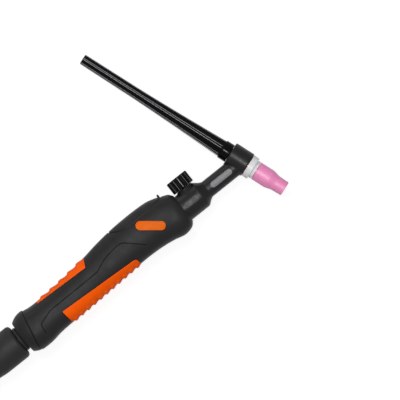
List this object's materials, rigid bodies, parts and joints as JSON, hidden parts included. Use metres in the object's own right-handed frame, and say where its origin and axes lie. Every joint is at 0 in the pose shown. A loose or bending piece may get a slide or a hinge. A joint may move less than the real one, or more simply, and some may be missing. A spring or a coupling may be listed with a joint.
{
  "type": "tig torch",
  "caption": "Gas-cooled TIG welding torch with a long fluted back cap, alumina nozzle, gas valve knob, two-shell handle with a lever and a swivelling ball-jointed cable support.",
  "frame": {"origin": "the point inside the head where the electrode axis crosses the neck axis", "axes": "+X forward along the handle and neck, +Y towards the back cap, +Z towards the torch's left side; the torch lies on its right side"},
  "size_m": [0.2929, 0.1892, 0.036],
  "materials": {
    "moulded_rubber": "satin moulded phenolic",
    "gloss_black": "glossy moulded phenolic",
    "shell_nylon": "fine-textured nylon",
    "orange_elastomer": "soft-touch elastomer",
    "badge_orange": "satin",
    "brass": "machined",
    "copper": "machined",
    "steel": "zinc plated",
    "ptfe": "satin",
    "alumina": "fired, unglazed",
    "o_ring": "matt",
    "switch_grey": "satin",
    "switch_red": "satin",
    "acetal": "satin",
    "support_rubber": "matt"
  },
  "bodies": {
    "torch": {"head_cover": "moulded_rubber", "head_core": "brass", "neck_tube": "brass", "valve_body": "brass", "hose_nut": "brass", "gland_nut": "brass", "collet_body": "brass", "collet": "copper", "left_shell": "shell_nylon", "right_shell": "shell_nylon", "shell_screws": "steel", "upper_grip": "orange_elastomer", "lower_grip": "orange_elastomer", "badge": "badge_orange", "lever_pin": "steel", "micro_switch": "switch_grey", "rear_collar": "shell_nylon"},
    "valve_seal": {"valve_o_ring": "o_ring"},
    "valve_wheel": {"valve_spindle": "steel", "valve_knob": "gloss_black", "knob_screw": "steel"},
    "cap_seal": {"cap_o_ring": "o_ring"},
    "cap": {"back_cap": "gloss_black"},
    "insulator": {"insulator_ring": "ptfe"},
    "gas_nozzle": {"nozzle": "alumina"},
    "lever": {"trigger_lever": "shell_nylon"},
    "plunger": {"switch_plunger": "switch_red"},
    "seat": {"ball_seat": "acetal"},
    "ball": {"knuckle_ball": "support_rubber", "swivel_clip": "steel"},
    "support": {"cable_support": "support_rubber"}
  },
  "joints": [
    {"name": "valve_turn", "type": "hinge", "parent": "valve_seal", "child": "valve_wheel", "pos_m": [-0.0506, 0, 0], "axis": [0, 1, 0], "range_deg": [0, 450]},
    {"name": "valve_lift", "type": "slide", "parent": "torch", "child": "valve_seal", "axis": [0, 1, 0], "range_m": [0, 0.001]},
    {"name": "cap_turn", "type": "hinge", "parent": "cap_seal", "child": "cap", "pos_m": [0, 0, 0], "axis": [-0.3206, 0.9472, 0], "range_deg": [0, 1800]},
    {"name": "cap_lift", "type": "slide", "parent": "torch", "child": "cap_seal", "axis": [-0.3206, 0.9472, 0], "range_m": [0, 0.00625]},
    {"name": "nozzle_turn", "type": "hinge", "parent": "insulator", "child": "gas_nozzle", "pos_m": [0, 0, 0], "axis": [0.3206, -0.9472, 0], "range_deg": [0, 1440]},
    {"name": "nozzle_lift", "type": "slide", "parent": "torch", "child": "insulator", "axis": [0.3206, -0.9472, 0], "range_m": [0, 0.005]},
    {"name": "trigger_press", "type": "hinge", "parent": "torch", "child": "lever", "pos_m": [-0.1169, 0.0138, 0], "axis": [0, 0, -1], "range_deg": [0, 2], "stiffness_Nm_per_rad": 1.5, "springref_deg": -1.72},
    {"name": "plunger_press", "type": "slide", "parent": "torch", "child": "plunger", "axis": [0, -1, 0], "range_m": [0, 0.00102]},
    {"name": "knuckle_yaw", "type": "hinge", "parent": "torch", "child": "seat", "pos_m": [-0.2194, -0.001, 0], "axis": [0, 0, 1], "range_deg": [-8, 8]},
    {"name": "knuckle_pitch", "type": "hinge", "parent": "seat", "child": "ball", "pos_m": [-0.2194, -0.001, 0], "axis": [0, 1, 0], "range_deg": [-8, 8]},
    {"name": "support_swivel", "type": "hinge", "parent": "ball", "child": "support", "pos_m": [-0.25, -0.001, 0], "axis": [1, 0, 0], "continuous": true}
  ],
  "couplings": [
    {"joint": "valve_turn", "follows": "valve_lift", "rad_per_m": 7854},
    {"joint": "cap_turn", "follows": "cap_lift", "rad_per_m": 5026.5},
    {"joint": "nozzle_turn", "follows": "nozzle_lift", "rad_per_m": 5026.5},
    {"joint": "plunger_press", "follows": "trigger_press", "m_per_rad": 0.0289}
  ]
}
